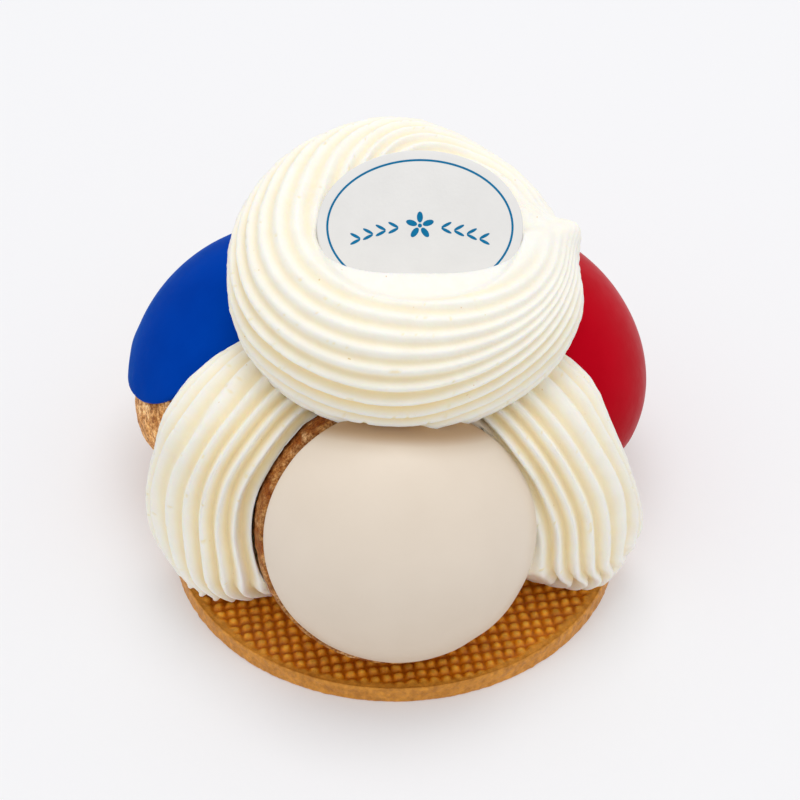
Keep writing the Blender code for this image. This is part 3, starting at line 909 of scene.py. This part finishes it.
def sprig_shapes():
    """Outlines of a small flower and of the leaves on both its sides."""
    shapes = [flat_shape((0.0, FLOWER_UP), 0.0, FLOWER_DOT, FLOWER_DOT)]
    for k in range(PETALS):
        angle = 90.0 + 360.0 / PETALS * k
        a = math.radians(angle)
        place = (PETAL_OUT * math.cos(a), FLOWER_UP + PETAL_OUT * math.sin(a))
        shapes.append(flat_shape(place, angle, *PETAL_HALF))
    for hand in (-1.0, 1.0):
        for k in range(LEAF_PAIRS):
            along = hand * (LEAF_START + LEAF_STEP * k)
            droop = FLOWER_UP - LEAF_DROOP * along ** 2
            for lean, lift in ((LEAF_LEAN, LEAF_OFF), (-LEAF_LEAN, -LEAF_OFF)):
                shapes.append(flat_shape((along, droop + lift), hand * lean, *LEAF_HALF))
    return shapes


def build_print(mat):
    """Thin printed oval line near the plaque's edge, with a flower and leaves in the middle."""
    high = PLAQUE_THICK / 2
    low = high - PRINT_DEEP
    count = 240
    outer = LINE_INSET - LINE_WIDE / 2
    inner = outer + LINE_WIDE
    corners = ((outer, low), (outer, high), (inner, high), (inner, low))
    local = [oval(inset, depth, count) for inset, depth in corners]
    faces = tube_faces(4, count, closed=True)
    start = 4 * count
    for shape in sprig_shapes():
        n = len(shape)
        for depth in (low, high):
            local.append(np.concatenate((shape, np.full((n, 1), depth)), axis=1))
        faces.append(tuple(start + k for k in range(n))[::-1])
        faces.append(tuple(start + n + k for k in range(n)))
        faces += [tuple(start + corner for corner in quad) for quad in tube_faces(2, n)]
        start += 2 * n
    points = on_plaque(np.concatenate(local))
    return add_piece("plaque_print", points, faces, mat, "plaque", sharp=40.0)


# ---- materials

class Surface:
    """A material, with what joins values and colours to its shader."""

    def __init__(self, name):
        self.material = bpy.data.materials.new(name)
        self.material.use_nodes = True
        self.nodes = self.material.node_tree.nodes
        self.shader = self.nodes["Principled BSDF"]

    def set(self, socket, value):
        self.shader.inputs[socket].default_value = value

    def link(self, source, target):
        self.material.node_tree.links.new(source, target)

    def join(self, source, socket):
        self.link(source, self.shader.inputs[socket])

    def field(self, name):
        """A value that the piece's mesh holds for each point."""
        node = self.nodes.new("ShaderNodeAttribute")
        node.attribute_name = name
        return node.outputs["Fac"]

    def noise(self, scale, detail=3.0, rough=0.5):
        """Noise fixed to the object; scale is in lumps to the metre."""
        place = self.nodes.new("ShaderNodeTexCoord")
        node = self.nodes.new("ShaderNodeTexNoise")
        node.inputs["Scale"].default_value = scale
        node.inputs["Detail"].default_value = detail
        node.inputs["Roughness"].default_value = rough
        self.link(place.outputs["Object"], node.inputs["Vector"])
        return node.outputs["Fac"]

    def ramp(self, source, *stops):
        """Colours along a value; stops are (place, colour)."""
        node = self.nodes.new("ShaderNodeValToRGB")
        points = node.color_ramp.elements
        while len(points) < len(stops):
            points.new(0.5)
        for point, (place, colour) in zip(points, stops):
            point.position = place
            point.color = (*colour, 1.0)
        self.link(source, node.inputs["Fac"])
        return node.outputs["Color"]

    def blend(self, share, first, second, how="MIX"):
        """Two colours in one; each of the three may be a socket or a fixed value."""
        node = self.nodes.new("ShaderNodeMix")
        node.data_type = "RGBA"
        node.blend_type = how
        for value, socket in ((share, "Factor"), (first, "A"), (second, "B")):
            plug = [s for s in node.inputs if s.name == socket and s.enabled][0]
            if isinstance(value, bpy.types.NodeSocket):
                self.link(value, plug)
            elif isinstance(value, tuple):
                plug.default_value = (*value, 1.0)
            else:
                plug.default_value = value
        return [s for s in node.outputs if s.enabled][0]

    def times(self, first, second):
        return self.blend(1.0, first, second, "MULTIPLY")

    def roughen(self, height, distance, strength):
        """Fine roughness of the surface; distance is in metres."""
        node = self.nodes.new("ShaderNodeBump")
        node.inputs["Distance"].default_value = distance
        node.inputs["Strength"].default_value = strength
        self.link(height, node.inputs["Height"])
        self.join(node.outputs["Normal"], "Normal")

    def finish(self, tint, rough, gloss):
        """The material, with this colour, roughness and gloss."""
        self.join(tint, "Base Color")
        self.set("Roughness", rough)
        self.set("Specular IOR Level", gloss)
        return self.material


def cream_material():
    """White cream, with painted shade that makes its grooves and nicks yellower, and a few specks."""
    look = Surface("whipped_cream")
    # painted shade: the field groove makes the grooves yellower and darker
    tint = look.ramp(
        look.field("groove"),
        (0.0, (0.965, 0.94, 0.875)),
        (0.3, (0.97, 0.915, 0.80)),
        (0.6, (0.98, 0.86, 0.62)),
        (1.0, (0.98, 0.80, 0.45)),
    )
    soft = look.ramp(look.noise(260.0), (0.3, (0.975, 0.965, 0.94)), (0.7, (1.0, 1.0, 1.0)))
    tint = look.times(tint, soft)
    # painted shade in the nicks, the same yellow as the grooves
    tint = look.blend(look.field("nick"), tint, (0.93, 0.82, 0.56))
    specks = look.ramp(look.noise(1100.0, 1.0), (0.17, (1.0, 1.0, 1.0)), (0.21, (0.0, 0.0, 0.0)))
    tint = look.blend(specks, tint, (0.80, 0.62, 0.34))
    look.roughen(look.noise(1500.0, 4.0, 0.6), 0.00012, 0.5)
    look.set("Subsurface Weight", 0.35)
    look.set("Subsurface Radius", (1.0, 0.75, 0.4))
    look.set("Subsurface Scale", 0.0015)
    return look.finish(tint, 0.5, 0.35)


def icing_material(name, light, dark, rough, gloss, thin, sheen, bend):
    """Satin icing; thin is the colour of its painted shade low down and of the painted shadow under the cream
    ring.
    """
    look = Surface(name)
    tint = look.ramp(look.noise(90.0, 4.0), (0.3, dark), (0.7, light))
    # painted shade and painted shadow, from the field thin
    through = look.ramp(look.field("thin"), (0.0, (1.0, 1.0, 1.0)), (0.5, (0.88, 0.84, 0.79)), (1.0, thin))
    look.join(look.times(tint, through), "Base Color")
    satin = look.ramp(look.noise(400.0), (0.3, (rough - 0.05,) * 3), (0.7, (rough + 0.05,) * 3))
    look.join(satin, "Roughness")
    look.roughen(look.noise(900.0), 0.00006, 0.4)
    look.set("Specular IOR Level", gloss)
    look.set("IOR", bend)
    look.set("Sheen Weight", 0.14)
    look.set("Sheen Tint", (*sheen, 1.0))
    look.set("Sheen Roughness", 0.25)
    return look.material


def crust_material():
    """Baked crust in golden patches, with dark cracks, browned streaks and pale flecks; in the front chou's
    band the streaks also carry painted shade in its pits.
    """
    look = Surface("craquelin_crust")
    tint = look.ramp(
        look.field("patch"),
        (0.0, (0.43, 0.195, 0.045)),
        (0.3, (0.54, 0.285, 0.11)),
        (0.5, (0.83, 0.41, 0.12)),
        (1.0, (0.93, 0.54, 0.23)),
    )
    grain = look.ramp(
        look.field("grain"),
        (0.2, (0.80, 0.68, 0.52)), (0.5, (0.98, 0.97, 0.95)), (0.8, (1.08, 1.12, 1.2)))
    tint = look.times(tint, grain)
    mottle = look.ramp(
        look.noise(750.0, 5.0, 0.65),
        (0.36, (0.50, 0.32, 0.16)), (0.5, (0.98, 0.95, 0.92)), (0.66, (1.35, 1.5, 1.75)))
    tint = look.times(tint, mottle)
    crack = look.ramp(look.field("crack"), (0.0, (0.0, 0.0, 0.0)), (1.0, (0.5, 0.5, 0.5)))
    tint = look.blend(crack, tint, (0.56, 0.18, 0.02))
    # streak: browned streaks, and painted shade in the pits of the front chou's band
    tint = look.blend(look.field("streak"), tint, (0.30, 0.075, 0.006))
    fleck = look.ramp(
        look.noise(2400.0, 3.0, 0.6),
        (0.36, (0.6, 0.46, 0.34)), (0.5, (1.0, 1.0, 1.0)), (0.64, (1.4, 1.6, 1.9)))
    tint = look.times(tint, fleck)
    tint = look.blend(look.field("smear"), tint, (0.86, 0.75, 0.61))
    look.roughen(look.noise(1600.0, 5.0, 0.7), 0.0003, 0.8)
    return look.finish(tint, 0.6, 0.2)


def base_material():
    """Golden brown biscuit, darker between its bumps."""
    look = Surface("baked_sable")
    tint = look.ramp(
        look.field("bump"),
        (0.0, (0.58, 0.155, 0.0)),
        (0.35, (0.80, 0.27, 0.004)),
        (0.75, (1.0, 0.41, 0.018)),
        (1.0, (1.0, 0.53, 0.065)),
    )
    tint = look.blend(look.field("border"), tint, (0.74, 0.32, 0.038))
    shade = look.ramp(look.field("patch"), (0.0, (0.82, 0.76, 0.70)), (1.0, (1.06, 1.08, 1.15)))
    tint = look.times(tint, shade)
    mottle = look.ramp(look.noise(800.0, 4.0, 0.65), (0.34, (0.74, 0.66, 0.56)), (0.66, (1.15, 1.15, 1.12)))
    tint = look.times(tint, mottle)
    look.roughen(look.noise(1500.0, 5.0, 0.7), 0.0002, 0.7)
    return look.finish(tint, 0.4, 0.35)


def plaque_material():
    """Pale, faintly clouded chocolate."""
    look = Surface("pale_plaque")
    tint = look.ramp(look.noise(180.0, 5.0, 0.6), (0.3, (0.745, 0.735, 0.72)), (0.7, (0.78, 0.77, 0.755)))
    look.roughen(look.noise(1800.0, 4.0), 0.00005, 0.4)
    return look.finish(tint, 0.45, 0.5)


def ink_material():
    """Matte blue print."""
    look = Surface("blue_ink")
    blue = look.ramp(look.noise(1200.0), (0.3, (0.0, 0.145, 0.31)), (0.7, (0.0, 0.17, 0.36)))
    return look.finish(blue, 0.6, 0.1)


# ---- floor, light and camera

def build_stage():
    """The plain pale floor."""
    mesh = bpy.data.meshes.new("floor")
    far = 3.0
    mesh.from_pydata([(-far, -far, 0), (far, -far, 0), (far, far, 0), (-far, far, 0)], [], [(0, 1, 2, 3)])
    floor = bpy.data.objects.new("floor", mesh)
    bpy.context.scene.collection.objects.link(floor)
    look = Surface("pale_floor")
    look.set("Base Color", (0.625, 0.63, 0.65, 1.0))
    look.set("Roughness", 1.0)
    look.set("Specular IOR Level", 0.0)
    look.set("Emission Color", (1.0, 0.985, 0.99, 1.0))
    look.set("Emission Strength", 0.275)
    mesh.materials.append(look.material)


def build_light():
    """Even white light from all round, and a broad soft lamp overhead."""
    world = bpy.data.worlds.new("studio")
    world.use_nodes = True
    sky = world.node_tree.nodes["Background"]
    sky.inputs["Color"].default_value = (1.0, 1.0, 1.0, 1.0)
    sky.inputs["Strength"].default_value = 0.75
    bpy.context.scene.world = world
    light = bpy.data.lights.new("top", "AREA")
    light.shape = "SQUARE"
    light.size = 0.5
    light.energy = 2.6
    lamp = bpy.data.objects.new("top", light)
    place = Vector((0.04, 0.08, 0.88))
    aim = Vector((0.0, 0.0, 0.03))
    lamp.location = place
    lamp.rotation_euler = (aim - place).to_track_quat("-Z", "Y").to_euler()
    bpy.context.scene.collection.objects.link(lamp)
    bpy.context.scene.view_settings.view_transform = "Standard"


def build_camera():
    """The camera, at the photograph's angle."""
    rise = math.radians(CAMERA_RISE)
    back = Vector((0.0, -math.cos(rise), math.sin(rise)))
    up = Vector((0.0, math.sin(rise), math.cos(rise)))
    lens = bpy.data.cameras.new("photo_view")
    lens.sensor_width = 36.0
    lens.lens = CAMERA_LENS
    camera = bpy.data.objects.new("photo_view", lens)
    place = Matrix((Vector((1.0, 0.0, 0.0)), up, back)).transposed().to_4x4()
    place.translation = (Vector(CAMERA_AIM) + CAMERA_DISTANCE * back) * MM
    camera.matrix_world = place
    bpy.context.scene.collection.objects.link(camera)
    bpy.context.scene.camera = camera


def build_cake():
    """All pieces of the cake, from the base up."""
    cream = cream_material()
    crust = crust_material()
    icings = {name: icing_material(**look) for name, look in ICINGS.items()}
    build_base(base_material())
    for one in CHOUX:
        name = one[0]
        build_crust(*one, crust)
        build_icing(*one, icings[name], ICING_SLOTS[name])
    build_ring(cream)
    for one in STRIPS:
        build_strip(*one, cream)
    build_plaque(plaque_material())
    build_print(ink_material())


build_cake()
build_stage()
build_light()
build_camera()
